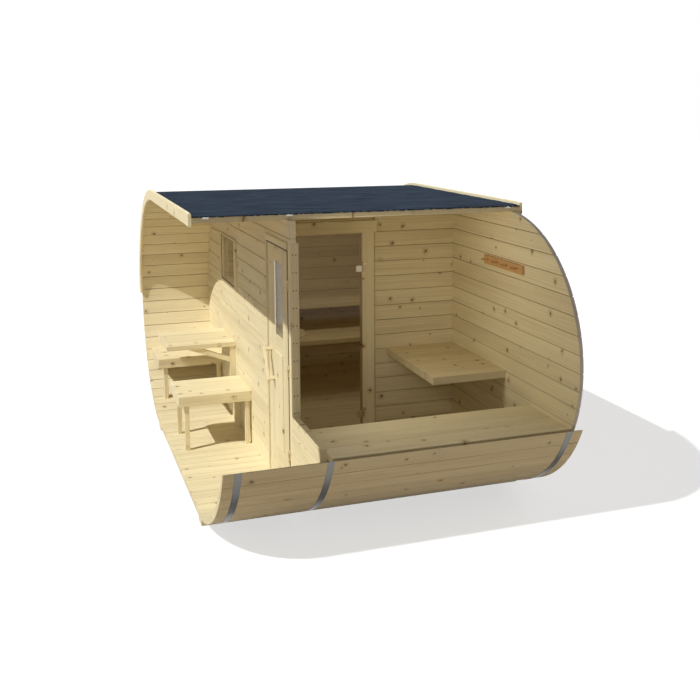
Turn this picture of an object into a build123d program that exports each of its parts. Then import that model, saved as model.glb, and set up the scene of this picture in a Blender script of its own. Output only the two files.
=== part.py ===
from build123d import *
import math
import os

# Wide oval barrel sauna, opened on its near side to show the porch, the changing room and the sauna room.
# Lengths are in millimetres. X runs along the staves from the porch end, Y across to the far side, Z up.
# Below, depth is measured from the shell's front end, reach from the centre line of the oval section,
# and height from the underside of the flat floor.

os.makedirs("parts", exist_ok=True)

# Shell: a flat floor and roof joined by elliptical sides
shell_length = 2460.0
shell_height = 2100.0
flat_half = 1044.0
side_reach = 1200.0
stave_thickness = 42.0
near_cut_height = 645.0
roof_cut_reach = 1160.0
far_segments = 6
near_segments = 2

# Roof covering, fascia boards, straps and skids
felt_thickness = 5.0
felt_end_lap = 30.0
fascia_thickness = 22.0
fascia_rise = 25.0
fascia_drop = 65.0
strap_thickness = 2.0
strap_width = 44.0
strap_front_margin = 94.0
strap_wall_offset = 25.0
strap_rear_margin = 100.0
skid_height = 58.0
skid_near_reach = 1070.0
skid_width = 120.0
skid_margin = 10.0

# Cross walls and the lengthwise partition
porch_depth = 650.0
wall_thickness = 45.0
wall_near_reach = 1250.0
leftover_near_reach = 1985.0
leftover_height = 670.0
end_wall_thickness = 28.0
end_wall_recess = 35.0
partition_near_reach = 30.0

# Entry door, hung on its near post and opening onto the porch
entry_near_reach = 1190.0
entry_far_reach = 550.0
entry_far_jamb = 20.0
entry_sill_height = 125.0
entry_head_drop = 250.0
entry_head_size = 50.0
frame_depth = 64.0
door_gap = 6.0
entry_leaf_thickness = 40.0
entry_leaf_setback = 2.0
light_near_reach = 1006.0
light_far_reach = 780.0
light_top_rail = 130.0
light_height = 550.0
door_middle_rail = 120.0
door_panel_low = 330.0
door_panel_recess = 10.0
pane_thickness = 6.0
pane_lap = 8.0
pane_setback = 5.0

# Slanted wooden pull on each face of the entry door
pull_low_reach = 758.0
pull_high_reach = 640.0
pull_top_drop = 140.0
pull_rise = 200.0
pull_width = 28.0
pull_thickness = 20.0
pull_standoff = 45.0

# Window in the front wall
window_near_reach = 775.0
window_far_reach = 1295.0
window_drop = 445.0
window_height = 370.0
casing_side = 115.0
casing_top = 40.0
casing_thickness = 12.0
lining_share = 0.4

# Glass door of the sauna room, hung on the partition's rear jamb and placed by shares of the room's length
sauna_front_share = 0.147
sauna_rear_share = 0.5135
sauna_jamb_width = 105.0
sauna_frame_proud = 20.0
sauna_head_drop = 196.0
sauna_head_size = 97.0
sauna_head_overhang = 24.0
sauna_head_proud = 6.0
sauna_sill_height = 85.0
glass_leaf_thickness = 8.0
knob_margin = 85.0
knob_height = 1000.0
knob_radius = 32.0
knob_neck_radius = 14.0
knob_neck_length = 16.0
knob_head_length = 26.0
knob_rounding = 9.0

# Hinges: a barrel on the leaf turns under a barrel on the frame
barrel_radius = 8.0
barrel_offset = 14.0
barrel_gap = 1.0
hinge_leaf_length = 58.0
hinge_leaf_height = 52.0
hinge_frame_height = 25.0
hinge_plate = 10.0
hinge_frame_reach = 24.0
entry_hinge_low_margin = 205.0
entry_hinge_high_margin = 290.0
sauna_hinge_low_margin = 145.0
sauna_hinge_high_margin = 329.0

# Changing room
changing_bench_height = 645.0
changing_bench_reach = 1490.0
bench_thickness = 45.0
table_height = 805.0
table_thickness = 60.0
table_depth_share = 0.3566
table_near_reach = 1080.0
rail_near_reach = 1375.0
rail_far_reach = 715.0
rail_drop = 430.0
rail_size = 70.0
rail_thickness = 22.0
peg_count = 4
peg_radius = 9.0
peg_length = 62.0
peg_taper = 3.0
peg_lean = math.radians(12.0)

# Sauna room benches and the ledgers that carry all the fixed benches
lower_bench_height = 645.0
lower_bench_reach = 1110.0
lower_bench_width = 470.0
upper_bench_height = 925.0
upper_bench_reach = 1490.0
ledger_width = 45.0
ledger_height = 60.0
ledger_setback = 30.0
ledger_length = 420.0

# Porch furniture
porch_front_margin = 50.0
seat_height = 500.0
seat_thickness = 30.0
apron_height = 55.0
apron_thickness = 18.0
leg_size = 36.0
leg_front_margin = 50.0
near_bench_reach = 120.0
near_bench_width = 530.0
far_bench_reach = 1460.0
porch_table_height = 770.0
porch_table_thickness = 40.0
porch_table_reach = 790.0
porch_table_width = 630.0
bracket_margin = 10.0
bracket_width = 220.0
bracket_board = 50.0
bracket_height = 400.0
brace_width = 40.0
brace_front_margin = 176.0
brace_top_length = 114.0
brace_drop = 140.0
brace_foot_height = 42.0

# Values that follow from the sizes above
half_height = shell_height / 2
side_top = half_height + flat_half + side_reach
floor_top = stave_thickness
roof_underside = shell_height - stave_thickness
felt_end_height = half_height - felt_end_lap
strap_depths = (strap_front_margin, porch_depth + strap_wall_offset, shell_length - strap_rear_margin)
end_wall_depth = shell_length - end_wall_recess - end_wall_thickness
room_depth = porch_depth + wall_thickness
room_length = end_wall_depth - room_depth
entry_head_height = shell_height - entry_head_drop
light_high = entry_head_height - light_top_rail
light_low = light_high - light_height
door_panel_high = light_low - door_middle_rail
window_high = shell_height - window_drop
window_low = window_high - window_height
sauna_front_depth = room_depth + room_length * sauna_front_share
sauna_rear_depth = room_depth + room_length * sauna_rear_share
sauna_head_high = shell_height - sauna_head_drop
sauna_head_low = sauna_head_high - sauna_head_size
knob_depth = sauna_front_depth + knob_margin
table_front_depth = end_wall_depth - room_length * table_depth_share
near_extent = flat_half + side_reach - stave_thickness
far_extent = flat_half + side_reach + fascia_rise
front_x = -shell_length / 2
centre_y = (near_extent - far_extent) / 2
base_z = skid_height + strap_thickness
quarter_turn = 90.0
half_turn = 180.0


def plan(height):
    """Horizontal plane, with depth and reach as its own axes."""
    return Plane(origin=(front_x, centre_y, base_z + height))


def section(depth):
    """Cross plane facing the rear, with reach and height as its own axes."""
    return Plane(origin=(front_x + depth, centre_y, base_z), x_dir=(0, 1, 0), z_dir=(1, 0, 0))


def elevation(reach):
    """Lengthwise plane facing the near side, with depth and height as its own axes."""
    return Plane(origin=(front_x, centre_y + reach, base_z), x_dir=(1, 0, 0), z_dir=(0, -1, 0))


def panel(low, high, mode=Mode.ADD):
    """Rectangle between two corners in the sketch in hand."""
    with Locations(((low[0] + high[0]) / 2, (low[1] + high[1]) / 2)):
        Rectangle(high[0] - low[0], high[1] - low[1], mode=mode)


def side_arc(side, inset, start, end):
    """Part of one elliptical side, drawn inside the shell's outer face by the inset."""
    centre = (side * flat_half, half_height)
    return EllipticalCenterArc(
        centre, side_reach - inset, half_height - inset, start, arc_size=end - start
    )


def oval(inset, mode=Mode.ADD):
    """Whole oval section, inside the shell's outer face by the inset."""
    with BuildLine() as outline:
        far_side = side_arc(1, inset, -quarter_turn, quarter_turn)
        near_side = side_arc(-1, inset, quarter_turn, half_turn + quarter_turn)
        Line(far_side @ 1, near_side @ 0)
        Line(near_side @ 1, far_side @ 0)
    make_face(outline.edges(), mode=mode)


def ring(outer_inset, inner_inset):
    """Band of the oval between two insets."""
    oval(outer_inset)
    oval(inner_inset, mode=Mode.SUBTRACT)


def stave_segment(side, start, end):
    """Piece of the shell's curved side between two angles of its ellipse."""
    with BuildLine() as outline:
        outer = side_arc(side, 0, start, end)
        inner = side_arc(side, stave_thickness, start, end)
        Line(outer @ 0, inner @ 0)
        Line(outer @ 1, inner @ 1)
    make_face(outline.edges())


def roof_side(cut_reach):
    """Keep what covers the roof and the far side down to the felt's lower edge."""
    panel((-cut_reach, felt_end_height), (side_top, side_top), mode=Mode.INTERSECT)


def strap_band(depth):
    """Strap round the shell at one depth, left open where the near side is cut away."""
    with BuildSketch(section(depth - strap_width / 2)) as band:
        ring(-strap_thickness, 0)
        panel((-side_top, near_cut_height), (-roof_cut_reach, side_top), mode=Mode.SUBTRACT)
    return band.sketch


def keep(piece, name):
    """Label a finished piece and write its file."""
    piece.part.label = name
    export_step(piece.part, f"parts/{name}.step")


# Flat floor of the shell
with BuildPart() as floor:
    with BuildSketch(section(0)):
        panel((-flat_half, 0), (flat_half, floor_top))
    extrude(amount=shell_length)
keep(floor, "floor")

# Curved far side, from the floor round to the roof
far_step = half_turn / far_segments
for index in range(far_segments):
    far_start = index * far_step - quarter_turn
    with BuildPart() as far_wall:
        with BuildSketch(section(0)):
            stave_segment(1, far_start, far_start + far_step)
        extrude(amount=shell_length)
    keep(far_wall, f"far_wall_{index + 1}")

# Curved near side, left standing up to the cut
near_cut_angle = half_turn + math.degrees(math.asin((half_height - near_cut_height) / half_height))
near_step = (half_turn + quarter_turn - near_cut_angle) / near_segments
for index in range(near_segments):
    near_end = half_turn + quarter_turn - index * near_step
    with BuildPart() as near_wall:
        with BuildSketch(section(0)):
            stave_segment(-1, near_end - near_step, near_end)
        extrude(amount=shell_length)
    keep(near_wall, f"near_wall_{index + 1}")

# Flat roof with the first staves of the near curve
with BuildPart() as roof:
    with BuildSketch(section(0)):
        ring(0, stave_thickness)
        panel((-roof_cut_reach, half_height), (flat_half, side_top), mode=Mode.INTERSECT)
    extrude(amount=shell_length)
keep(roof, "roof")

# Steel straps
with BuildPart() as straps:
    for depth in strap_depths:
        extrude(strap_band(depth), amount=strap_width)
keep(straps, "straps")

# Felt, laid over the staves and the straps
with BuildPart() as roof_felt:
    with BuildSketch(section(0)):
        ring(-felt_thickness, 0)
        roof_side(roof_cut_reach)
    extrude(amount=shell_length)
    for depth in strap_depths:
        extrude(strap_band(depth), amount=strap_width, mode=Mode.SUBTRACT)
keep(roof_felt, "roof_felt")

# Fascia boards over both ends of the roof
for name, depth in (("front_fascia", -fascia_thickness), ("rear_fascia", shell_length)):
    with BuildPart() as fascia:
        with BuildSketch(section(depth)):
            ring(-fascia_rise, fascia_drop)
            roof_side(roof_cut_reach)
        extrude(amount=fascia_thickness)
    keep(fascia, name)

# Skids under the straps, hollowed on top to the curve of the shell
with BuildPart() as skids:
    for low_reach in (-skid_near_reach - skid_width, skid_near_reach):
        with BuildSketch(section(skid_margin)):
            panel((low_reach, -base_z), (low_reach + skid_width, half_height))
            oval(-strap_thickness, mode=Mode.SUBTRACT)
        extrude(amount=shell_length - 2 * skid_margin)
keep(skids, "skids")

# Front wall from the door's far jamb to the far side, with the window cut through it
lining_side = casing_side * lining_share
lining_top = casing_top * lining_share
wall_edge_reach = entry_far_reach - entry_far_jamb
with BuildPart() as front_wall:
    with BuildSketch(section(porch_depth)):
        oval(stave_thickness)
        panel((-wall_edge_reach, 0), (side_top, side_top), mode=Mode.INTERSECT)
        panel(
            (window_near_reach - lining_side, window_low - lining_top),
            (window_far_reach + lining_side, window_high + lining_top),
            mode=Mode.SUBTRACT,
        )
    extrude(amount=wall_thickness)
keep(front_wall, "front_wall")

# Front wall over the door
entry_head_top = entry_head_height + entry_head_size
with BuildPart() as wall_over_door:
    with BuildSketch(section(porch_depth)):
        oval(stave_thickness)
        panel((-wall_near_reach, entry_head_top), (-wall_edge_reach, side_top), mode=Mode.INTERSECT)
    extrude(amount=wall_thickness)
keep(wall_over_door, "wall_over_door")

# Low piece of the front wall left standing beside the near post
with BuildPart() as wall_near_piece:
    with BuildSketch(section(porch_depth)):
        oval(stave_thickness)
        panel((-leftover_near_reach, 0), (-wall_near_reach, leftover_height), mode=Mode.INTERSECT)
    extrude(amount=wall_thickness)
keep(wall_near_piece, "wall_near_piece")

# Entry door frame: near post, far jamb, head and sill
entry_frame = {
    "door_near_post": ((-wall_near_reach, 0), (-entry_near_reach, entry_head_top)),
    "door_far_jamb": ((-entry_far_reach, 0), (-wall_edge_reach, entry_head_top)),
    "door_head": ((-entry_near_reach, entry_head_height), (-entry_far_reach, entry_head_top)),
    "door_sill": ((-entry_near_reach, 0), (-entry_far_reach, entry_sill_height)),
}
for name, (low, high) in entry_frame.items():
    with BuildPart() as frame_piece:
        with BuildSketch(section(porch_depth)):
            oval(stave_thickness)
            panel(low, high, mode=Mode.INTERSECT)
        extrude(amount=frame_depth)
    keep(frame_piece, name)

# Entry door leaf with a light above and a recessed panel below
leaf_front = porch_depth + entry_leaf_setback
leaf_back = leaf_front + entry_leaf_thickness
pane_depth = leaf_front + pane_setback
with BuildPart() as entry_door:
    with BuildSketch(section(leaf_front)):
        panel(
            (door_gap - entry_near_reach, entry_sill_height + door_gap),
            (-entry_far_reach - door_gap, entry_head_height - door_gap),
        )
        panel((-light_near_reach, light_low), (-light_far_reach, light_high), mode=Mode.SUBTRACT)
    extrude(amount=entry_leaf_thickness)
    for depth in (leaf_front, leaf_back - door_panel_recess):
        with BuildSketch(section(depth)):
            panel((-light_near_reach, door_panel_low), (-light_far_reach, door_panel_high))
        extrude(amount=door_panel_recess, mode=Mode.SUBTRACT)
    with BuildSketch(section(pane_depth)):
        panel(
            (-light_near_reach - pane_lap, light_low - pane_lap),
            (pane_lap - light_far_reach, light_high + pane_lap),
        )
    extrude(amount=pane_thickness, mode=Mode.SUBTRACT)
keep(entry_door, "entry_door")

with BuildPart() as entry_door_glass:
    with BuildSketch(section(pane_depth)):
        panel(
            (-light_near_reach - pane_lap, light_low - pane_lap),
            (pane_lap - light_far_reach, light_high + pane_lap),
        )
    extrude(amount=pane_thickness)
keep(entry_door_glass, "entry_door_glass")

# Slanted pulls on both faces of the entry door, each a bar on two square posts
pull_high = light_low - pull_top_drop
pull_ends = ((-pull_low_reach, pull_high - pull_rise), (-pull_high_reach, pull_high))
pull_run = pull_low_reach - pull_high_reach
pull_centre = (-(pull_low_reach + pull_high_reach) / 2, pull_high - pull_rise / 2)
pull_lean = math.degrees(math.atan2(pull_rise, pull_run))
pull_length = math.hypot(pull_run, pull_rise) + pull_width
with BuildPart() as entry_door_handle:
    for face, outward in ((leaf_front, -1), (leaf_back, 1)):
        with BuildSketch(section(face)):
            with Locations(*pull_ends):
                Rectangle(pull_width, pull_width, rotation=pull_lean)
        extrude(amount=outward * pull_standoff)
        with BuildSketch(section(face + outward * pull_standoff)):
            with Locations(pull_centre):
                Rectangle(pull_length, pull_width, rotation=pull_lean)
        extrude(amount=outward * pull_thickness)
keep(entry_door_handle, "entry_door_handle")

# Entry door hinges
entry_axis = (porch_depth - barrel_offset, -entry_near_reach)
entry_hinge_low = entry_sill_height + entry_hinge_low_margin
entry_hinge_high = entry_head_height - entry_hinge_high_margin
entry_hinge_heights = (entry_hinge_low, (entry_hinge_low + entry_hinge_high) / 2, entry_hinge_high)
with BuildPart() as entry_door_hinges:
    for height in entry_hinge_heights:
        with BuildSketch(plan(height)):
            with Locations(entry_axis):
                Circle(barrel_radius)
            panel(
                (leaf_front - hinge_plate, entry_axis[1]),
                (leaf_front, entry_axis[1] + hinge_leaf_length),
            )
        extrude(amount=hinge_leaf_height)
keep(entry_door_hinges, "entry_door_hinges")

with BuildPart() as entry_frame_hinges:
    for height in entry_hinge_heights:
        with BuildSketch(plan(height + hinge_leaf_height + barrel_gap)):
            with Locations(entry_axis):
                Circle(barrel_radius)
            panel(
                (porch_depth - hinge_plate, entry_axis[1] - hinge_frame_reach),
                (porch_depth, entry_axis[1]),
            )
        extrude(amount=hinge_frame_height)
keep(entry_frame_hinges, "entry_frame_hinges")

# Window frame: a casing on the outer face and a lining through the wall, grooved for the pane
window_pane_depth = porch_depth + pane_setback
with BuildPart() as window_frame:
    with BuildSketch(section(porch_depth - casing_thickness)):
        panel(
            (window_near_reach - casing_side, window_low - casing_top),
            (window_far_reach + casing_side, window_high + casing_top),
        )
    extrude(amount=casing_thickness)
    with BuildSketch(section(porch_depth)):
        panel(
            (window_near_reach - lining_side, window_low - lining_top),
            (window_far_reach + lining_side, window_high + lining_top),
        )
    extrude(amount=wall_thickness)
    with BuildSketch(section(porch_depth - casing_thickness)):
        panel((window_near_reach, window_low), (window_far_reach, window_high))
    extrude(amount=casing_thickness + wall_thickness, mode=Mode.SUBTRACT)
    with BuildSketch(section(window_pane_depth)):
        panel(
            (window_near_reach - pane_lap, window_low - pane_lap),
            (window_far_reach + pane_lap, window_high + pane_lap),
        )
    extrude(amount=pane_thickness, mode=Mode.SUBTRACT)
keep(window_frame, "window_frame")

with BuildPart() as window_glass:
    with BuildSketch(section(window_pane_depth)):
        panel(
            (window_near_reach - pane_lap, window_low - pane_lap),
            (window_far_reach + pane_lap, window_high + pane_lap),
        )
    extrude(amount=pane_thickness)
keep(window_glass, "window_glass")

# Lengthwise partition, beside and over the glass door
partition_far_reach = wall_thickness - partition_near_reach
jamb_front_depth = sauna_front_depth - sauna_jamb_width
jamb_rear_depth = sauna_rear_depth + sauna_jamb_width
partition_pieces = {
    "partition_front": ((room_depth, floor_top), (jamb_front_depth, roof_underside)),
    "partition_rear": ((jamb_rear_depth, floor_top), (end_wall_depth, roof_underside)),
    "partition_over_door": ((jamb_front_depth, sauna_head_high), (jamb_rear_depth, roof_underside)),
}
for name, (low, high) in partition_pieces.items():
    with BuildPart() as partition:
        with BuildSketch(elevation(partition_far_reach)):
            panel(low, high)
        extrude(amount=wall_thickness)
    keep(partition, name)

# Frame of the glass door
sauna_frame_depth = wall_thickness + 2 * sauna_frame_proud
sauna_frame_far = partition_far_reach + sauna_frame_proud
sauna_frame_near = sauna_frame_far - sauna_frame_depth
for name, depth in (("sauna_front_jamb", jamb_front_depth), ("sauna_rear_jamb", sauna_rear_depth)):
    with BuildPart() as jamb:
        with BuildSketch(elevation(sauna_frame_far)):
            panel((depth, floor_top), (depth + sauna_jamb_width, sauna_head_low))
        extrude(amount=sauna_frame_depth)
    keep(jamb, name)

with BuildPart() as sauna_head:
    with BuildSketch(elevation(partition_far_reach)):
        panel((jamb_front_depth, sauna_head_low), (jamb_rear_depth, sauna_head_high))
    extrude(amount=wall_thickness)
    for reach in (sauna_frame_far + sauna_head_proud, -partition_near_reach):
        with BuildSketch(elevation(reach)):
            panel(
                (jamb_front_depth - sauna_head_overhang, sauna_head_low),
                (jamb_rear_depth + sauna_head_overhang, sauna_head_high),
            )
        extrude(amount=sauna_frame_proud + sauna_head_proud)
keep(sauna_head, "sauna_head")

with BuildPart() as sauna_sill:
    with BuildSketch(elevation(partition_far_reach)):
        panel((sauna_front_depth, floor_top), (sauna_rear_depth, sauna_sill_height))
    extrude(amount=wall_thickness)
keep(sauna_sill, "sauna_sill")

# Glass leaf, its knobs and its hinges
glass_near = sauna_frame_near + entry_leaf_setback
glass_far = glass_near + glass_leaf_thickness
with BuildPart() as sauna_door:
    with BuildSketch(elevation(glass_far)):
        panel(
            (sauna_front_depth + door_gap, sauna_sill_height + door_gap),
            (sauna_rear_depth - door_gap, sauna_head_low - door_gap),
        )
    extrude(amount=glass_leaf_thickness)
keep(sauna_door, "sauna_door")

with BuildPart() as sauna_door_knobs:
    for reach, outward in ((glass_near, 1), (glass_far, -1)):
        with BuildSketch(elevation(reach)):
            with Locations((knob_depth, knob_height)):
                Circle(knob_neck_radius)
        extrude(amount=outward * knob_neck_length)
        with BuildSketch(elevation(reach - outward * knob_neck_length)):
            with Locations((knob_depth, knob_height)):
                Circle(knob_radius)
        extrude(amount=outward * knob_head_length)
    fillet(sauna_door_knobs.faces().sort_by(Axis.Y)[0].edges(), radius=knob_rounding)
    fillet(sauna_door_knobs.faces().sort_by(Axis.Y)[-1].edges(), radius=knob_rounding)
keep(sauna_door_knobs, "sauna_door_knobs")

sauna_axis = (sauna_rear_depth, sauna_frame_near - barrel_offset)
sauna_hinge_heights = (sauna_sill_height + sauna_hinge_low_margin, sauna_head_low - sauna_hinge_high_margin)
with BuildPart() as sauna_door_hinges:
    for height in sauna_hinge_heights:
        with BuildSketch(plan(height)):
            with Locations(sauna_axis):
                Circle(barrel_radius)
            panel(
                (sauna_axis[0] - hinge_leaf_length, glass_near - hinge_plate),
                (sauna_axis[0], glass_near),
            )
        extrude(amount=hinge_leaf_height)
keep(sauna_door_hinges, "sauna_door_hinges")

with BuildPart() as sauna_frame_hinges:
    for height in sauna_hinge_heights:
        with BuildSketch(plan(height + hinge_leaf_height + barrel_gap)):
            with Locations(sauna_axis):
                Circle(barrel_radius)
            panel(
                (sauna_axis[0], sauna_frame_near - hinge_plate),
                (sauna_axis[0] + hinge_frame_reach, sauna_frame_near),
            )
        extrude(amount=hinge_frame_height)
keep(sauna_frame_hinges, "sauna_frame_hinges")

# End wall, set into the shell's rear end
with BuildPart() as end_wall:
    with BuildSketch(section(end_wall_depth)):
        oval(stave_thickness)
    extrude(amount=end_wall_thickness)
keep(end_wall, "end_wall")

# Fixed benches, fitted to the shell where they reach it
lower_bench_back = lower_bench_reach + lower_bench_width
fixed_benches = {
    "changing_bench": (-side_top, -changing_bench_reach, changing_bench_height),
    "lower_bench": (lower_bench_reach, lower_bench_back, lower_bench_height),
    "upper_bench": (upper_bench_reach, side_top, upper_bench_height),
}
for name, (low_reach, high_reach, top) in fixed_benches.items():
    with BuildPart() as bench:
        with BuildSketch(section(room_depth)):
            oval(stave_thickness)
            panel((low_reach, top - bench_thickness), (high_reach, top), mode=Mode.INTERSECT)
        extrude(amount=room_length)
    keep(bench, name)

# Ledgers on the cross walls under both ends of each fixed bench
ledgers = (
    (-changing_bench_reach - ledger_setback - ledger_length, changing_bench_height),
    (lower_bench_reach + ledger_setback, lower_bench_height),
    (upper_bench_reach + ledger_setback, upper_bench_height),
)
with BuildPart() as bench_ledgers:
    for reach, top in ledgers:
        for depth in (room_depth, end_wall_depth - ledger_width):
            with BuildSketch(plan(top - bench_thickness - ledger_height)):
                panel((depth, reach), (depth + ledger_width, reach + ledger_length))
            extrude(amount=ledger_height)
keep(bench_ledgers, "bench_ledgers")

# Corner table, fixed to the partition and the end wall
with BuildPart() as corner_table:
    with BuildSketch(plan(table_height - table_thickness)):
        panel((table_front_depth, -table_near_reach), (end_wall_depth, -partition_near_reach))
    extrude(amount=table_thickness)
keep(corner_table, "corner_table")

# Hook rail on the end wall, with pegs that lean up a little
rail_length = rail_near_reach - rail_far_reach
peg_spacing = rail_length / peg_count
rail_face = end_wall_depth - rail_thickness
rail_centre = (-(rail_near_reach + rail_far_reach) / 2, shell_height - rail_drop - rail_size / 2)
with BuildPart() as hook_rail:
    with BuildSketch(section(rail_face)):
        with Locations(rail_centre):
            Rectangle(rail_length, rail_size)
    extrude(amount=rail_thickness)
    for index in range(peg_count):
        peg_reach = rail_centre[0] + peg_spacing * (index - (peg_count - 1) / 2)
        peg_plane = Plane(
            origin=(front_x + rail_face, centre_y + peg_reach, base_z + rail_centre[1]),
            x_dir=(0, 1, 0),
            z_dir=(-math.cos(peg_lean), 0, math.sin(peg_lean)),
        )
        with BuildSketch(peg_plane.offset(-peg_radius)):
            Circle(peg_radius)
        extrude(amount=peg_radius + peg_length, taper=peg_taper)
keep(hook_rail, "hook_rail")

# Porch benches: shallow boxes open below, on legs down to the floor
seat_underside = seat_height - seat_thickness
apron_low = seat_underside - apron_height
near_bench_back = near_bench_reach + near_bench_width
box_front = porch_front_margin + apron_thickness
box_length = porch_depth - apron_thickness - box_front
seats = {
    "porch_near_bench": (near_bench_reach, near_bench_back, near_bench_back - apron_thickness),
    "porch_far_bench": (far_bench_reach, side_top, side_top),
}
for name, (low_reach, high_reach, hollow_reach) in seats.items():
    with BuildPart() as seat:
        with BuildSketch(section(porch_front_margin)):
            oval(stave_thickness)
            panel((low_reach, apron_low), (high_reach, seat_height), mode=Mode.INTERSECT)
        extrude(amount=porch_depth - porch_front_margin)
        with BuildSketch(section(box_front)):
            panel((low_reach + apron_thickness, apron_low), (hollow_reach, seat_underside))
        extrude(amount=box_length, mode=Mode.SUBTRACT)
    keep(seat, name)

leg_depths = (porch_front_margin + leg_front_margin, porch_depth - apron_thickness - leg_size)
leg_reaches = (
    near_bench_reach + apron_thickness,
    near_bench_back - apron_thickness - leg_size,
    far_bench_reach + apron_thickness,
)
with BuildPart() as porch_bench_legs:
    for depth in leg_depths:
        for reach in leg_reaches:
            with BuildSketch(section(depth)):
                oval(stave_thickness)
                panel((reach, 0), (reach + leg_size, seat_underside), mode=Mode.INTERSECT)
            extrude(amount=leg_size)
keep(porch_bench_legs, "porch_bench_legs")

# Porch table on a wall bracket
table_underside = porch_table_height - porch_table_thickness
with BuildPart() as porch_table:
    with BuildSketch(plan(table_underside)):
        panel(
            (porch_front_margin, porch_table_reach),
            (porch_depth, porch_table_reach + porch_table_width),
        )
    extrude(amount=porch_table_thickness)
keep(porch_table, "porch_table")

bracket_reach = porch_table_reach + bracket_margin
bracket_depth = porch_depth - bracket_board
brace_front = porch_front_margin + brace_front_margin
brace_foot = table_underside - brace_drop
with BuildPart() as table_bracket:
    with BuildSketch(section(bracket_depth)):
        panel(
            (bracket_reach, table_underside - bracket_height),
            (bracket_reach + bracket_width, table_underside),
        )
    extrude(amount=bracket_board)
    with BuildSketch(elevation(bracket_reach + brace_width)):
        with BuildLine():
            Polyline(
                (brace_front, table_underside),
                (bracket_depth, brace_foot),
                (bracket_depth, brace_foot + brace_foot_height),
                (brace_front + brace_top_length, table_underside),
                close=True,
            )
        make_face()
    extrude(amount=brace_width)
keep(table_bracket, "table_bracket")
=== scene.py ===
import math
import random
from itertools import accumulate

import bmesh
import bpy
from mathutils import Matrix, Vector


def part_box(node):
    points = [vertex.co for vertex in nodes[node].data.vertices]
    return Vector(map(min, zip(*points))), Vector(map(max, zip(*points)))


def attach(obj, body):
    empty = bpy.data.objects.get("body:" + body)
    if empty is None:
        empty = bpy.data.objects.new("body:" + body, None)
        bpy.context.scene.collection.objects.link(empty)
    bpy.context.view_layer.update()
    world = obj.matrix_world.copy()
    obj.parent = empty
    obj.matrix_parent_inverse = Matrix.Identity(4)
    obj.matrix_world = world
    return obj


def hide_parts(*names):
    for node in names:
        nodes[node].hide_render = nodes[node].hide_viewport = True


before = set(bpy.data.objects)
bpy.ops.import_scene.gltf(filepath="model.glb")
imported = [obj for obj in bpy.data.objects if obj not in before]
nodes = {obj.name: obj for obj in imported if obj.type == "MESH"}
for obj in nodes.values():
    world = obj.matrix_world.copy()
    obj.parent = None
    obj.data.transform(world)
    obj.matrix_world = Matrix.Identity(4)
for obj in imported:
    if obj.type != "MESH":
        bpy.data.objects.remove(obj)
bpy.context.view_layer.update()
rng = random.Random(11)
scene = bpy.context.scene

# Section of the shell and the boards, in metres, as in the part's source
FLAT_HALF = 1.044
SIDE_REACH = 1.200
HALF_HEIGHT = 1.050
STAVE = 0.042
STAVE_COVER = 0.125
WALL_COVER = 0.126
BOARD_COUNT = 17
GROOVE, GROOVE_DEPTH = 0.0032, 0.010
EDGE, PLAIN_EDGE = 0.002, 0.0002
SLIVER, HOLE_SLACK = 0.004, 0.001
ROOF_CUT = 1.160
NEAR_CUT = 0.645
FELT_END = 1.020
CUT_FALL = 0.014
END_STEP = 0.002

# How dark the painted shade in the boards' grooves and along their cut edges is, from 0 to 1
WALL_MARK, PARTITION_MARK, BOARD_MARK, STAVE_MARK = 0.42, 0.36, 0.75, 0.70
ROOF_EDGE_MARK, CUT_MARK = 0.16, 0.45

X, Y, Z = AXES = (Vector((1, 0, 0)), Vector((0, 1, 0)), Vector((0, 0, 1)))
floor_low, floor_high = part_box("floor")
ORIGIN = Vector((floor_low.x, (floor_low.y + floor_high.y) / 2, floor_low.z))


def at(depth, reach, height):
    """Point in the row frame from the depth, reach and height that the part's source uses."""
    return ORIGIN + Vector((depth, reach, height))


def span(name):
    """Lowest and highest corner of a CAD node as (depth, reach, height)."""
    low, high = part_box(name)
    return tuple(low - ORIGIN), tuple(high - ORIGIN)


LENGTH = span("floor")[1][0]


def oval_reach(height, inset):
    """Half width of the oval at a height, inside the outer face by the inset."""
    share = (height - HALF_HEIGHT) / (HALF_HEIGHT - inset)
    return FLAT_HALF + (SIDE_REACH - inset) * math.sqrt(max(0.0, 1 - share * share))


def oval_floor(reach, inset):
    """Height of the oval's lower face at a reach."""
    share = max(0.0, abs(reach) - FLAT_HALF) / (SIDE_REACH - inset)
    return HALF_HEIGHT - (HALF_HEIGHT - inset) * math.sqrt(max(0.0, 1 - share * share))


def side_point(side, turn, inset):
    """(reach, height) on one curved side; the turn is 0 at the roof and pi at the floor."""
    reach = side * (FLAT_HALF + (SIDE_REACH - inset) * math.sin(turn))
    return reach, HALF_HEIGHT + (HALF_HEIGHT - inset) * math.cos(turn)


# Materials


def new_material(name):
    """Material with a Principled shader, its tree and that shader."""
    material = bpy.data.materials.new(name)
    material.use_nodes = True
    tree = material.node_tree
    return material, tree, tree.nodes["Principled BSDF"]


def wire(tree, node, links):
    """Link sockets to a node's inputs, or set values on them, by name or index."""
    for key, value in links:
        if isinstance(value, bpy.types.NodeSocket):
            tree.links.new(value, node.inputs[key])
        else:
            node.inputs[key].default_value = value


def add(tree, kind, links=(), **settings):
    """New shader node with its settings and inputs."""
    made = tree.nodes.new("ShaderNode" + kind)
    for key, value in settings.items():
        setattr(made, key, value)
    wire(tree, made, links)
    return made


def math_node(tree, operation, *values, clamp=False):
    """Math node's output for two or three values or sockets."""
    made = add(tree, "Math", list(enumerate(values)), operation=operation, use_clamp=clamp)
    return made.outputs[0]


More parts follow.
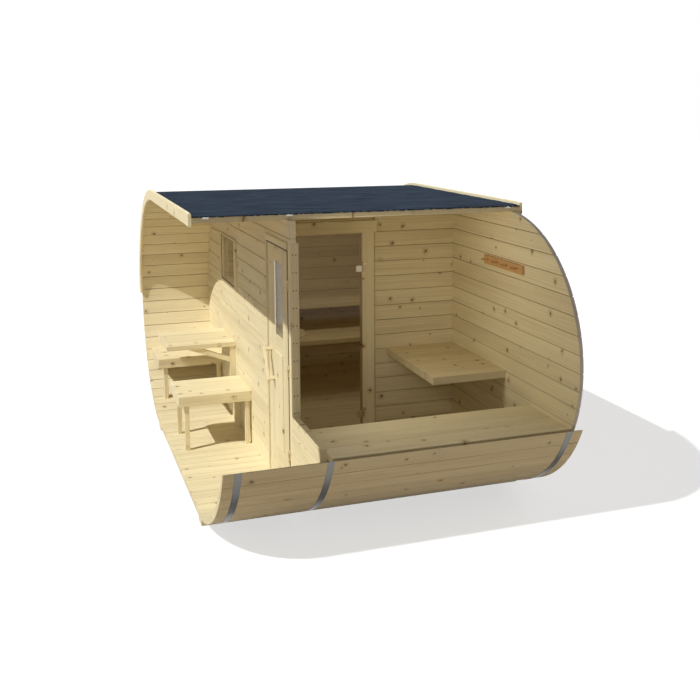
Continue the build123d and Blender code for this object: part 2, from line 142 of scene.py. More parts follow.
def scaled_noise(tree, scale, detail, vector=None):
    """Noise over coordinates, the object's own if none are given, stretched by a scale for each axis."""
    vector = vector or add(tree, "TexCoord").outputs["Object"]
    stretched = add(tree, "VectorMath", [(0, vector), (1, scale)], operation="MULTIPLY")
    noise = add(tree, "TexNoise", [("Vector", stretched.outputs[0]), ("Scale", 1.0), ("Detail", detail)])
    return noise.outputs["Fac"]


def smooth_map(tree, value, low, high, start=0.0, end=1.0):
    """Smooth step of a value from one range to another."""
    links = [("Value", value), ("From Min", low), ("From Max", high), ("To Min", start), ("To Max", end)]
    return add(tree, "MapRange", links, interpolation_type="SMOOTHSTEP").outputs["Result"]


def mix_colour(tree, factor, first, second):
    """Mix of two colours, each a socket or three numbers."""
    ends = [(*colour, 1) if isinstance(colour, tuple) else colour for colour in (first, second)]
    return add(tree, "Mix", [(0, factor), (6, ends[0]), (7, ends[1])], data_type="RGBA").outputs[2]


def bump(tree, strength, distance, height):
    """Normal that a height raises."""
    return add(tree, "Bump", [("Strength", strength), ("Distance", distance), ("Height", height)]).outputs[0]


def wood_material(name, pale, deep, knot, knot_share, roughness):
    """Sawn softwood: growth rings round a pith, streaks along the grain, and knots, with painted shade in its grooves
    and along cut edges.
    """
    material, tree, shader = new_material(name)
    grain = add(tree, "Attribute", attribute_name="grain").outputs["Vector"]
    tone, painted_shade = (add(tree, "Attribute", attribute_name=label).outputs["Fac"] for label in ("tone", "painted_shade"))
    parts = add(tree, "SeparateXYZ", [(0, grain)])
    wander = add(tree, "TexNoise", [("Vector", grain), ("Scale", 18.0), ("Detail", 1.0)]).outputs["Color"]
    stray = [(0, wander), (1, (0.030, 0.030, 0.0)), (2, grain)]
    strayed = add(tree, "VectorMath", stray, operation="MULTIPLY_ADD")
    cells = [("Vector", strayed.outputs[0]), ("Scale", 4.8), ("Randomness", 1.0)]
    knots = add(tree, "TexVoronoi", cells, voronoi_dimensions="2D")
    chance = add(tree, "SeparateColor", [(0, knots.outputs["Color"])])
    size = smooth_map(tree, chance.outputs[0], 1 - knot_share, 1.0, 0.0, 0.070)
    near_knot = math_node(tree, "DIVIDE", knots.outputs["Distance"], math_node(tree, "ADD", size, 0.0001))
    heart = smooth_map(tree, near_knot, 0.55, 1.0, 1.0, 0.0)
    halo = smooth_map(tree, near_knot, 0.9, 3.0, 1.0, 0.0)

    across = add(tree, "CombineXYZ", [(1, parts.outputs[1]), (2, parts.outputs[2])])
    radius = add(tree, "VectorMath", [(0, across.outputs[0])], operation="LENGTH").outputs["Value"]
    warp = scaled_noise(tree, (0.8, 5.0, 5.0), 3.0, grain)
    bent = math_node(tree, "MULTIPLY_ADD", warp, 0.045, radius)
    bent = math_node(tree, "MULTIPLY_ADD", halo, 0.012, bent)
    rings = math_node(tree, "SINE", math_node(tree, "MULTIPLY", bent, 430.0))
    streaks = scaled_noise(tree, (1.6, 130.0, 130.0), 3.0, grain)
    clouds = scaled_noise(tree, (0.9, 10.0, 10.0), 2.0, grain)

    figure = 0.0
    for part, share in ((rings, 0.09), (streaks, 0.50), (clouds, 0.72), (tone, 0.26)):
        figure = math_node(tree, "MULTIPLY_ADD", part, share, figure)
    colour = mix_colour(tree, smooth_map(tree, figure, 0.40, 1.20), pale, deep)
    halo_colour = tuple(0.6 * wood + 0.4 * dark for wood, dark in zip(deep, knot))
    # Painted shade: grooves and cut edges darken towards this colour by their marks
    painted_shade_colour = tuple(0.14 * wood for wood in deep)
    for mask, share, paint in ((halo, 0.50, halo_colour), (heart, 0.9, knot), (painted_shade, 0.9, painted_shade_colour)):
        colour = mix_colour(tree, math_node(tree, "MULTIPLY", mask, share), colour, paint)
    rough = smooth_map(tree, streaks, 0.2, 0.8, roughness - 0.08, roughness + 0.1)
    height = math_node(tree, "MULTIPLY_ADD", rings, 0.15, math_node(tree, "ADD", streaks, heart))
    normal = bump(tree, 0.22, 0.0012, height)
    wire(tree, shader, [("Base Color", colour), ("Roughness", rough), ("Specular IOR Level", 0.15), ("Normal", normal)])
    return material


def felt_material():
    """Mineral roofing felt: dark blue-grey granules with faint darker patches."""
    material, tree, shader = new_material("roofing_felt")
    granules = scaled_noise(tree, (420.0, 420.0, 420.0), 2.0)
    patches = scaled_noise(tree, (5.0, 22.0, 22.0), 4.0)
    mixed = math_node(tree, "MULTIPLY_ADD", patches, 0.6, math_node(tree, "MULTIPLY", granules, 0.7))
    shade = smooth_map(tree, mixed, 0.47, 0.83)
    colour = mix_colour(tree, shade, (0.0055, 0.011, 0.020), (0.035, 0.052, 0.079))
    normal = bump(tree, 0.5, 0.002, granules)
    wire(tree, shader, [("Base Color", colour), ("Roughness", 0.9), ("Specular IOR Level", 0.04), ("Normal", normal)])
    return material


def metal_material(name, pale, deep, roughness, metallic=1.0):
    """Rolled metal with a soft variation of its shine."""
    material, tree, shader = new_material(name)
    cloud = scaled_noise(tree, (9.0, 9.0, 9.0), 3.0)
    brushed = scaled_noise(tree, (520.0, 14.0, 14.0), 2.0)
    colour = mix_colour(tree, smooth_map(tree, cloud, 0.3, 0.7), deep, pale)
    mixed = math_node(tree, "MULTIPLY_ADD", brushed, 0.5, math_node(tree, "MULTIPLY", cloud, 0.5))
    rough = smooth_map(tree, mixed, 0.3, 0.7, roughness - 0.07, roughness + 0.1)
    normal = bump(tree, 0.08, 0.0005, brushed)
    wire(tree, shader, [("Base Color", colour), ("Roughness", rough), ("Metallic", metallic), ("Normal", normal)])
    return material


def strap_material():
    """Polished steel band with painted shade and a painted highlight: darker where it turns under the shell, with a
    bright lower edge.
    """
    material, tree, shader = new_material("strap_steel")
    lie = add(tree, "SeparateXYZ", [(0, add(tree, "NewGeometry").outputs["Normal"])]).outputs[2]
    brushed = scaled_noise(tree, (520.0, 14.0, 14.0), 2.0)
    cloud = scaled_noise(tree, (6.0, 6.0, 6.0), 2.0)
    turned = math_node(tree, "MULTIPLY_ADD", cloud, 0.10, lie)
    # Painted shade and highlight: the colour runs by how far the band faces down, not by the light
    ramp = add(tree, "ValToRGB", [(0, smooth_map(tree, turned, -0.95, -0.30))])
    stops = ramp.color_ramp.elements
    stops[0].position, stops[0].color = 0.04, (0.42, 0.42, 0.42, 1)
    stops[1].position, stops[1].color = 1.0, (0.20, 0.197, 0.19, 1)
    for position, grey in ((0.14, 0.22), (0.30, 0.02), (0.46, 0.035), (0.70, 0.14)):
        stop = stops.new(position)
        stop.color = (grey, grey * 0.99, grey * 0.96, 1)
    rough = smooth_map(tree, brushed, 0.3, 0.7, 0.30, 0.44)
    normal = bump(tree, 0.08, 0.0005, brushed)
    wire(tree, shader, [("Base Color", ramp.outputs[0]), ("Roughness", rough), ("Metallic", 1.0), ("Normal", normal)])
    return material


def glass_material(name, tint, alpha):
    """Tinted sheet glass with faint smears in its shine."""
    material, tree, shader = new_material(name)
    smear = scaled_noise(tree, (3.0, 3.0, 1.2), 3.0)
    colour = mix_colour(tree, smear, tint, tuple(0.82 * part for part in tint))
    rough = smooth_map(tree, smear, 0.3, 0.8, 0.03, 0.09)
    wire(tree, shader, [("Base Color", colour), ("Roughness", rough), ("Alpha", alpha)])
    wire(tree, shader, [("IOR", 1.5), ("Specular IOR Level", 0.35)])
    return material


spruce = wood_material("spruce", (0.845, 0.750, 0.500), (0.655, 0.553, 0.345), (0.240, 0.135, 0.055), 0.66, 0.62)
end_grain = wood_material(
    "spruce_end_grain", (0.700, 0.655, 0.570), (0.580, 0.540, 0.460), (0.220, 0.180, 0.120), 0.05, 0.80
)
alder = wood_material("alder", (0.640, 0.390, 0.180), (0.480, 0.260, 0.100), (0.200, 0.100, 0.040), 0.10, 0.50)
felt = felt_material()
steel = strap_material()
hinge_metal = metal_material("hinge_metal", (0.60, 0.51, 0.36), (0.50, 0.42, 0.29), 0.42)
painted_metal = metal_material("painted_metal", (0.74, 0.64, 0.41), (0.66, 0.56, 0.35), 0.50, metallic=0.1)
bead_metal = metal_material("bead_metal", (0.74, 0.72, 0.63), (0.66, 0.64, 0.56), 0.34)
strap_end_metal = metal_material("strap_end_metal", (0.52, 0.51, 0.48), (0.40, 0.39, 0.37), 0.42)
screw_metal = metal_material("screw_metal", (0.16, 0.12, 0.08), (0.08, 0.06, 0.04), 0.45)
# Dark strips that stand for the shade in the gaps round the door leaf and the window sash: painted shade
gap_shade = metal_material("painted_gap_shade", (0.150, 0.112, 0.066), (0.110, 0.080, 0.046), 0.75, metallic=0.0)
pale_gap_shade = metal_material("pale_painted_gap_shade", (0.340, 0.255, 0.125), (0.270, 0.200, 0.095), 0.85, metallic=0.0)
clear_glass = glass_material("clear_glass", (0.30, 0.26, 0.21), 0.34)
bronze_glass = glass_material("bronze_glass", (0.130, 0.070, 0.024), 0.34)


# Timber


def new_cut(tone=None):
    """Where in its log a board was cut, along it and from the pith, and its tone if none is given."""
    drawn = rng.uniform(0, 40), rng.uniform(-0.10, 0.10), rng.uniform(0.02, 0.09), rng.uniform(0.1, 0.9)
    return drawn if tone is None else (*drawn[:3], tone)


def loft_faces(first, size, count, caps=None):
    """Faces of a closed solid through a count of rings, whose points start at an index."""
    faces = []
    for index in range(count - 1):
        for number in range(size):
            corner = first + index * size + number
            beside = first + index * size + (number + 1) % size
            faces.append((corner, beside, beside + size, corner + size))
    last = first + (count - 1) * size
    for cap in caps or [range(size)]:
        faces.append(tuple(first + number for number in reversed(cap)))
        faces.append(tuple(last + number for number in cap))
    return faces


class Timber:
    """Boards gathered into one piece, each with its own grain and tone."""

    def __init__(self):
        self.points, self.faces, self.grain, self.tones, self.joints = [], [], [], [], []

    def loft(self, rings, along, across, cut=None, base=None, runs=None, marks=None, caps=None):
        """Closed solid through rings of points, with its grain along an axis and marks for the painted shade in its
        grooves and along its cut edges.
        """
        size = len(rings[0])
        first = len(self.points)
        run, side, depth, tone = cut or new_cut()
        base = base or sum(rings[0], Vector()) / size
        through = along.cross(across)
        for index, ring in enumerate(rings):
            for number, point in enumerate(ring):
                away = point - base
                flat = rings[0][number] - base if runs else away
                distance = runs[index] if runs else away.dot(along)
                self.points.append(point)
                self.grain.append((distance + run, flat.dot(across) + side, flat.dot(through) + depth))
                self.tones.append(tone)
                inner = len(rings) == 2 or 0 < index < len(rings) - 1
                self.joints.append(marks[number] if marks and inner else 0.0)
        self.faces += loft_faces(first, size, len(rings), caps)

    def finish(self, name, replaced, material=None, body="building"):
        """Object of the boards, riding on a body in place of CAD nodes."""
        attributes = (
            ("grain", "FLOAT_VECTOR", "vector", [value for vector in self.grain for value in vector]),
            ("tone", "FLOAT", "value", self.tones),
            ("painted_shade", "FLOAT", "value", self.joints),
        )
        return solid(name, self.points, self.faces, replaced, material or spruce, body, attributes)


def in_scene(name, data):
    """New object in the scene."""
    made = bpy.data.objects.new(name, data)
    scene.collection.objects.link(made)
    return made


def solid(name, points, faces, replaced, material, body, attributes=()):
    """Object with outward faces and a material, riding on a body in place of CAD nodes."""
    mesh = bpy.data.meshes.new(name)
    mesh.from_pydata(points, [], faces)
    for label, kind, key, values in attributes:
        mesh.attributes.new(label, kind, "POINT").data.foreach_set(key, values)
    work = bmesh.new()
    work.from_mesh(mesh)
    bmesh.ops.recalc_face_normals(work, faces=work.faces)
    work.to_mesh(mesh)
    work.free()
    made = in_scene(name, mesh)
    mesh.materials.append(material)
    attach(made, body)
    if replaced:
        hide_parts(*replaced)
    return made


def chamfered(a0, a1, b0, b1, cut, second_cut=None):
    """Rectangle with its corners cut off, as pairs."""
    rise = cut if second_cut is None else second_cut
    return [
        (a0 + cut, b0), (a1 - cut, b0), (a1, b0 + rise), (a1, b1 - rise),
        (a1 - cut, b1), (a0 + cut, b1), (a0, b1 - rise), (a0, b0 + rise),
    ]


def beam(timber, low, high, axis, cut=EDGE, end_cut=EDGE, bend=None, groove=None, tone=None, mark=BOARD_MARK):
    """Straight timber between two corners, with its grain along an axis and its edges eased or grooved."""
    first, second = [index for index in range(3) if index != axis]
    wide = first if high[first] - low[first] > high[second] - low[second] else second
    cuts, marks = (cut, cut), None
    if groove and wide == first:
        cuts, marks = (groove, GROOVE_DEPTH), [0, 0, mark, mark] * 2
    elif groove:
        cuts, marks = (GROOVE_DEPTH, groove), [mark, mark, 0, 0] * 2
    step = end_cut or END_STEP
    stations = [(low[axis], end_cut), (low[axis] + step, 0), (high[axis] - step, 0), (high[axis], end_cut)]
    rings = []
    for station, inset in stations:
        ring = []
        sides = (low[first] + inset, high[first] - inset, low[second] + inset, high[second] - inset)
        for a, b in chamfered(*sides, *cuts):
            spot = [0.0, 0.0, 0.0]
            spot[axis], spot[first], spot[second] = station, a, b
            ring.append(at(*(bend(*spot) if bend else spot)))
        rings.append(ring)
    timber.loft(rings, AXES[axis], AXES[wide], cut=new_cut(tone), marks=marks)


def beams(name, pieces, replaced=(), body="building", material=None, cut=EDGE, tone=None):
    """One piece made of straight timbers, each given as (low, high, axis)."""
    timber = Timber()
    for low, high, axis in pieces:
        beam(timber, low, high, axis, cut=cut, tone=tone)
    return timber.finish(name, replaced, material=material, body=body)


def circle(centre, first, second, radius, steps):
    """Points round a centre, in the plane of two directions."""
    turns = [2 * math.pi * step / steps for step in range(steps)]
    return [centre + (first * math.cos(turn) + second * math.sin(turn)) * radius for turn in turns]


def surround(front, back, outer, inner):
    """Four boards round an opening: two across it, and two uprights between them."""
    (near, low), (far, high) = outer
    (inner_near, inner_low), (inner_far, inner_high) = inner
    return [
        ((front, near, inner_high), (back, far, high), 1),
        ((front, near, low), (back, far, inner_low), 1),
        ((front, near, inner_low), (back, inner_near, inner_high), 2),
        ((front, inner_far, inner_low), (back, far, inner_high), 2),
    ]


def grown(opening, side, top):
    """Opening with its sides, and its top and bottom, moved out."""
    (near, low), (far, high) = opening
    return (near - side, low - top), (far + side, high + top)


def inside_oval(depth, reach, height):
    """Point moved in to the shell's inner face where it would pass it."""
    limit = oval_reach(height, STAVE)
    return depth, max(-limit, min(limit, reach)), height


def above_floor(depth, reach, height):
    """Point lifted to the shell's inner face where it would be under it."""
    return depth, reach, max(height, oval_floor(reach, STAVE))


def strips(low, high, count):
    """Equal strips of a width, as pairs."""
    width = (high - low) / count
    return [(low + index * width, low + (index + 1) * width) for index in range(count)]


def wall_levels(low, high):
    """Courses of wall boards between two heights, on one set of joints through the building."""
    levels = []
    level = STAVE
    while level < high - SLIVER:
        if level + WALL_COVER > low + SLIVER:
            levels.append((max(level, low), min(level + WALL_COVER, high)))
        level += WALL_COVER
    return levels


def wall_steps(low, high):
    """Heights from low to high, closer together where the oval bends in to the roof and the floor."""
    steps, rise = 6, HALF_HEIGHT - STAVE
    first, last = (math.acos(max(-1.0, min(1.0, (height - HALF_HEIGHT) / rise))) for height in (low, high))
    turns = [first + (last - first) * step / steps for step in range(1, steps)]
    return [low, *(HALF_HEIGHT + rise * math.cos(turn) for turn in turns), high]


def boarded_wall(name, node, depths, heights, near, far, hole=None):
    """Horizontal boards across the building between two edges, each a reach or a function of the height."""
    timber = Timber()
    front, back = depths
    for low, high in wall_levels(*heights):
        cut = new_cut()
        middle = (low + high) / 2
        runs = [(near, far, low, high)]
        if hole and low < hole[1][1] and high > hole[0][1]:
            (hole_near, hole_low), (hole_far, hole_high) = hole
            runs = [(near, hole_near, low, high), (hole_far, far, low, high)]
            if low < hole_low - HOLE_SLACK:
                runs.append((hole_near, hole_far, low, hole_low))
            if high > hole_high + HOLE_SLACK:
                runs.append((hole_near, hole_far, hole_high, high))
        for left, right, bottom, top in runs:
            open_low = bottom == low and low > heights[0]
            open_high = top == high and high < heights[1]
            ease_low, deep_low = (GROOVE, GROOVE_DEPTH) if open_low else (PLAIN_EDGE, PLAIN_EDGE)
            ease_high, deep_high = (GROOVE, GROOVE_DEPTH) if open_high else (PLAIN_EDGE, PLAIN_EDGE)
            levels = wall_steps(bottom + ease_low, top - ease_high)
            last = len(levels) - 1
            profile = [(level, front) for level in levels]
            profile += [(top, front + deep_high), (top, back - deep_high)]
            profile += [(level, back) for level in reversed(levels)]
            profile += [(bottom, back - deep_low), (bottom, front + deep_low)]
            marks = [0] * (last + 1) + [WALL_MARK * open_high] * 2 + [0] * (last + 1) + [WALL_MARK * open_low] * 2
            size = len(profile)
            caps = [(step, step + 1, size - 4 - step, size - 3 - step) for step in range(last)]
            caps += [(last, last + 1, last + 2, last + 3), (size - 1, 0, size - 3, size - 2)]
            rings = []
            for edge in (left, right):
                reaches = [edge(height) if callable(edge) else edge for height, depth in profile]
                rings.append([at(depth, reach, height) for reach, (height, depth) in zip(reaches, profile)])
            timber.loft(rings, Y, Z, cut=cut, base=at(front, 0, middle), marks=marks, caps=caps)
    return timber.finish(name, [node])


def stave(timber, side, start, end, level=None, edge_marks=(STAVE_MARK, STAVE_MARK), tone=None):
    """One lengthwise stave of a curved side between two turns; a level cuts it off, falling to the inside."""
    lead = GROOVE / SIDE_REACH
    deep = GROOVE_DEPTH
    lip, clear, middle = start + lead, start + 2.5 * lead, (start + end) / 2
    first, last = edge_marks
    # A cut stave gets painted shade along its cut edge
    line = CUT_MARK if level is not None else 0
    outline = [
        (start, deep, first), (lip, 0, line), (clear, 0, 0), (middle, 0, 0), (end - lead, 0, 0), (end, deep, last),
        (end, STAVE - deep, last), (end - lead, STAVE, 0), (middle, STAVE, 0), (clear, STAVE, 0), (lip, STAVE, 0),
        (start, STAVE - deep, first),
    ]
    rings = []
    for depth in (0, END_STEP, LENGTH - END_STEP, LENGTH):
        ring = []
        for turn, inset, mark in outline:
            reach, height = side_point(side, turn, inset)
            if level is not None:
                height = min(height, level - CUT_FALL * inset / STAVE)
            ring.append(at(depth, reach, height))
        rings.append(ring)
    reach, height = side_point(side, middle, 0)
    slope = Vector((0, *side_point(side, middle + 0.01, 0))) - Vector((0, reach, height))
    marks = [mark for turn, inset, mark in outline]
    timber.loft(rings, X, slope.normalized(), cut=new_cut(tone), marks=marks)


def run_lengths(points):
    """How far along the line through them each point is."""
    return [0.0, *accumulate((after - before).length for before, after in zip(points, points[1:]))]


def stave_wall(name, side, start, replaced, level=None):
    """Curved side from a turn to the floor, in staves of about one cover, the first of them cut off at a level."""
    steps = 720
    turns = [start + (math.pi - start) * index / steps for index in range(steps + 1)]
    lengths = run_lengths([Vector(side_point(1, turn, STAVE / 2)) for turn in turns])
    count = round(lengths[-1] / STAVE_COVER)
    wanted = [lengths[-1] * number / count for number in range(count + 1)]
    joints = [turns[min(range(steps + 1), key=lambda index: abs(lengths[index] - mark))] for mark in wanted]
    staves = Timber()
    for first, last in zip(joints, joints[1:]):
        stave(staves, side, first, last, level if first == start else None)
    staves.finish(name, replaced)


# Shell: floor, curved sides and roof
floor_boards = Timber()
for low, high in strips(-FLAT_HALF, FLAT_HALF, BOARD_COUNT):
    beam(floor_boards, (0, low, 0), (LENGTH, high, STAVE), 0, groove=GROOVE, end_cut=0)
floor_boards.finish("floor_boards", ["floor"])

stave_wall("far_staves", 1, 0.0, [f"far_wall_{number}" for number in range(1, 7)])
near_turn = math.acos((NEAR_CUT - HALF_HEIGHT) / HALF_HEIGHT)
stave_wall("near_staves", -1, near_turn, ["near_wall_1", "near_wall_2"], NEAR_CUT)

roof_boards = Timber()
roof_turn = math.asin((ROOF_CUT - FLAT_HALF) / SIDE_REACH)
# The roof's near cut edge gets a faint painted shade
stave(roof_boards, -1, 0.0, roof_turn, edge_marks=(STAVE_MARK, ROOF_EDGE_MARK), tone=0.9)
roof_top = 2 * HALF_HEIGHT
for low, high in strips(-FLAT_HALF, FLAT_HALF, BOARD_COUNT):
    beam(roof_boards, (0, low, roof_top - STAVE), (LENGTH, high, roof_top), 0, groove=GROOVE, end_cut=0)
roof_boards.finish("roof_boards", ["roof"])


def rim_stations(insets):
    """Rings of (reach, height) for each inset, from the roof's near cut over to the felt's end on the far side."""
    near_steps, far_steps = 4, 40
    starts = [math.asin((ROOF_CUT - FLAT_HALF) / (SIDE_REACH - inset)) for inset in insets]
    stops = [math.acos((FELT_END - HALF_HEIGHT) / (HALF_HEIGHT - inset)) for inset in insets]
    shares = [(-1, starts, step / near_steps) for step in range(near_steps, -1, -1)]
    shares += [(1, stops, step / far_steps) for step in range(far_steps + 1)]
    return [
        [side_point(side, turn * share, inset) for turn, inset in zip(turns, insets)] for side, turns, share in shares
    ]


FASCIA_TONE, FASCIA_WIDTH, FASCIA_EDGE = -0.8, 0.090, 0.003


def fascia(name, node):
    """Bent fascia board over one end of the roof."""
    low, high = span(node)
    rise = 2 * HALF_HEIGHT - high[2]
    profile = chamfered(rise, rise + FASCIA_WIDTH, low[0], high[0], FASCIA_EDGE)
    stations = rim_stations([inset for inset, depth in profile])
    rings = [[at(depth, *spot) for spot, (inset, depth) in zip(ring, profile)] for ring in stations]
    timber = Timber()
    runs = run_lengths([ring[0] for ring in rings])
    timber.loft(rings, Y, Z, cut=new_cut(FASCIA_TONE), runs=runs)
    timber.finish(name, [node])


fascia("front_fascia_board", "front_fascia")
fascia("rear_fascia_board", "rear_fascia")

# Skids, hollowed to the shell
skid_low, skid_high = span("skids")
SKID_WIDTH, SKID_TOP, SKID_EDGE, SKID_GAP = 0.120, 0.02, 0.004, 0.002
skid_timber = Timber()
for side_low in (skid_low[1], skid_high[1] - SKID_WIDTH):
    beam(
        skid_timber,
        (skid_low[0], side_low, skid_low[2]),
        (skid_high[0], side_low + SKID_WIDTH, SKID_TOP),
        0,
        cut=SKID_EDGE,
        bend=lambda d, r, h: (d, r, min(h, oval_floor(r, -SKID_GAP))),
    )
skid_timber.finish("skid_timbers", ["skids"])

# Front wall with its window, and the pieces beside and over the entry door
wall_low, wall_high = span("front_wall")
wall_depths = (wall_low[0], wall_high[0])
wall_heights = (STAVE, roof_top - STAVE)
casing_low, casing_high = span("window_frame")
pane_low, pane_high = span("window_glass")
LAP = 0.008
CASING_SIDE, CASING_TOP, LINING = 0.115, 0.040, 0.4
SASH_SIDE, SASH_TOP, SASH_FACE = 0.042, 0.018, 0.006
light = grown((pane_low[1:], pane_high[1:]), -LAP, -LAP)
sash = grown(light, SASH_SIDE, SASH_TOP)
hole = grown(light, CASING_SIDE * LINING, CASING_TOP * LINING)
far_edge = lambda z: oval_reach(z, STAVE)
boarded_wall("front_wall_boards", "front_wall", wall_depths, wall_heights, wall_low[1], far_edge, hole)

over_low, over_high = span("wall_over_door")
over_heights = (over_low[2], roof_top - STAVE)
boarded_wall("wall_boards_over_door", "wall_over_door", wall_depths, over_heights, over_low[1], over_high[1])

left_low, left_high = span("wall_near_piece")
left_heights = (left_low[2], left_high[2])
left_edge = lambda z: max(left_low[1], -oval_reach(z, STAVE))
boarded_wall("wall_boards_near_piece", "wall_near_piece", wall_depths, left_heights, left_edge, left_high[1])

end_low, end_high = span("end_wall")
END_GAP, END_GRAIN_REACH = 0.0006, 0.5
end_depths = (end_low[0], end_high[0])
end_edge = lambda z: END_GAP - oval_reach(z, STAVE)
end_wall = boarded_wall("end_wall_boards", "end_wall", end_depths, wall_heights, end_edge, far_edge)
end_wall.data.materials.append(end_grain)
for polygon in end_wall.data.polygons:
    if polygon.center.y < ORIGIN.y - END_GRAIN_REACH:
        polygon.material_index = 1

# Window: casing boards on the wall, a sash in them with dark strips of painted shade along its edges, and linings
# through the wall
front, face = casing_low[0], wall_low[0]
sash_front = front + SASH_FACE
window_pieces = surround(front, face, (casing_low[1:], casing_high[1:]), sash)
window_pieces += surround(sash_front, face, sash, light)
window_pieces += surround(face, wall_high[0], hole, light)
beams("window_casing", window_pieces, ["window_frame"])
(sash_near, sash_low), (sash_far, sash_high) = sash
# Dark strips round the sash: painted shade for the shaded reveal inside the casing
SHADE_STRIP_TOP, SHADE_STRIP_SIDE, SHADE_STRIP_BACK, SHADE_STRIP_EDGE = 0.008, 0.003, 0.001, 0.0005
shade_strip_sides = [
    ((sash_near, sash_high - SHADE_STRIP_TOP), (sash_far, sash_high), 1),
    ((sash_near, sash_low), (sash_far, sash_low + SHADE_STRIP_TOP), 1),
    ((sash_near, sash_low), (sash_near + SHADE_STRIP_SIDE, sash_high), 2),
    ((sash_far - SHADE_STRIP_SIDE, sash_low), (sash_far, sash_high), 2),
]
shade_strip_pieces = [((front + SHADE_STRIP_BACK, *low), (sash_front, *high), axis) for low, high, axis in shade_strip_sides]
beams("window_gap_shade", shade_strip_pieces, material=gap_shade, cut=SHADE_STRIP_EDGE)

# Entry door frame
POST_FACE, CASING_PROUD, HEAD_CASING = 0.0195, 0.012, 1.190
post_low, post_high = span("door_near_post")
entry_frame = Timber()
beam(entry_frame, post_low, (post_low[0] + POST_FACE, *post_high[1:]), 2, tone=0.1)
beam(entry_frame, (post_low[0] + POST_FACE, *post_low[1:]), post_high, 2, tone=0.9)
for name, axis in (("door_far_jamb", 2), ("door_head", 1), ("door_sill", 1)):
    low, high = span(name)
    if name != "door_sill":
        casing_near = -HEAD_CASING if name == "door_head" else low[1]
        beam(entry_frame, (low[0] - CASING_PROUD, casing_near, low[2]), (low[0], *high[1:]), axis)
    beam(entry_frame, low, high, axis)
entry_frame.finish("entry_frame_timbers", ["door_near_post", "door_far_jamb", "door_head", "door_sill"])

# Entry door leaf: stiles, rails and a recessed panel
leaf_low, leaf_high = span("entry_door")
glass_low, glass_high = span("entry_door_glass")
door_near, door_far = glass_low[1] + LAP, glass_high[1] - LAP
door_light_low, door_light_high = glass_low[2] + LAP, glass_high[2] - LAP
PANEL_LOW, PANEL_HIGH, PANEL_RECESS, PANEL_PROUD = 0.330, 1.050, 0.010, 0.008
leaf_front, leaf_back = leaf_low[0], leaf_high[0]
door_pieces = [
    (leaf_low, (leaf_back, door_near, leaf_high[2]), 2),
    ((leaf_front, door_far, leaf_low[2]), leaf_high, 2),
    ((leaf_front, door_near, leaf_low[2]), (leaf_back, door_far, PANEL_LOW), 1),
    ((leaf_front, door_near, PANEL_HIGH), (leaf_back, door_far, door_light_low), 1),
    ((leaf_front, door_near, door_light_high), (leaf_back, door_far, leaf_high[2]), 1),
    ((leaf_front - PANEL_PROUD, door_near, PANEL_LOW), (leaf_back - PANEL_RECESS, door_far, PANEL_HIGH), 2),
]
beams("entry_door_leaf", door_pieces, ["entry_door"], body="entry_door")

# Dark strips of painted shade along the leaf's top and hinge edges, standing for the shade in the gap to the frame, and
# a metal bead beside its glass
SHADE_STRIP_PROUD, SHADE_STRIP_WIDTH, LEAF_SHADE_STRIP_TOP = 0.007, 0.004, 0.008
shade_strip_front = leaf_front - SHADE_STRIP_PROUD
shade_strip_top = leaf_high[2] - LEAF_SHADE_STRIP_TOP
top_shade_strip = ((shade_strip_front, leaf_low[1], shade_strip_top), (leaf_front, *leaf_high[1:]), 1)
beams("entry_door_gap_shade", [top_shade_strip], body="entry_door", material=gap_shade, cut=SHADE_STRIP_EDGE)
edge_shade_strip = ((shade_strip_front, *leaf_low[1:]), (leaf_front, leaf_low[1] + SHADE_STRIP_WIDTH, shade_strip_top), 2)
beams("entry_door_edge_gap_shade", [edge_shade_strip], body="entry_door", material=pale_gap_shade, cut=SHADE_STRIP_EDGE)
BEAD, BEAD_PROUD = 0.010, 0.002
bead_front, bead_back = leaf_front - BEAD_PROUD, glass_low[0]
bead = ((bead_front, door_far - BEAD, door_light_low), (bead_back, door_far, door_light_high), 2)
beams("entry_door_bead", [bead], body="entry_door", material=bead_metal, cut=0.001)

# Slanted pulls on both faces of the entry door
PULL_LOW, PULL_HIGH = Vector((0, -0.758, 0.830)), Vector((0, -0.640, 1.030))
PULL_WIDTH, PULL_THICKNESS, PULL_STANDOFF, PULL_EDGE = 0.028, 0.020, 0.045, 0.003
pull_along = (PULL_HIGH - PULL_LOW).normalized()
pull_across = Vector((0, -pull_along.z, pull_along.y))
pull_half, pull_side = ((PULL_HIGH - PULL_LOW).length + PULL_WIDTH) / 2, PULL_WIDTH / 2
pull_stations = [
    (-pull_half, PULL_EDGE), (PULL_EDGE - pull_half, 0), (pull_half - PULL_EDGE, 0), (pull_half, PULL_EDGE)
]
pulls = Timber()


def pull_spot(centre, depth, along, across):
    """Point of a pull, by how far along and across its slant it is from a centre."""
    return at(depth, 0, 0) + centre + pull_along * along + pull_across * across


for face_depth, outward in ((leaf_front, -1), (leaf_back, 1)):
    inner = face_depth + outward * PULL_STANDOFF
    outer = inner + outward * PULL_THICKNESS
    post = chamfered(-pull_side, pull_side, -pull_side, pull_side, PULL_EDGE)
    for end in (PULL_LOW, PULL_HIGH):
        rings = [[pull_spot(end, depth, *spot) for spot in post] for depth in sorted((face_depth, inner))]
        pulls.loft(rings, X, pull_across)
    middle = (PULL_LOW + PULL_HIGH) / 2
    start, stop = sorted((inner, outer))
    rings = []
    for along, inset in pull_stations:
        grip = chamfered(inset - pull_side, pull_side - inset, start + inset, stop - inset, PULL_EDGE)
        rings.append([pull_spot(middle, depth, along, across) for across, depth in grip])
    pulls.loft(rings, pull_along, pull_across)
pulls.finish("entry_door_pulls", ["entry_door_handle"], body="entry_door")

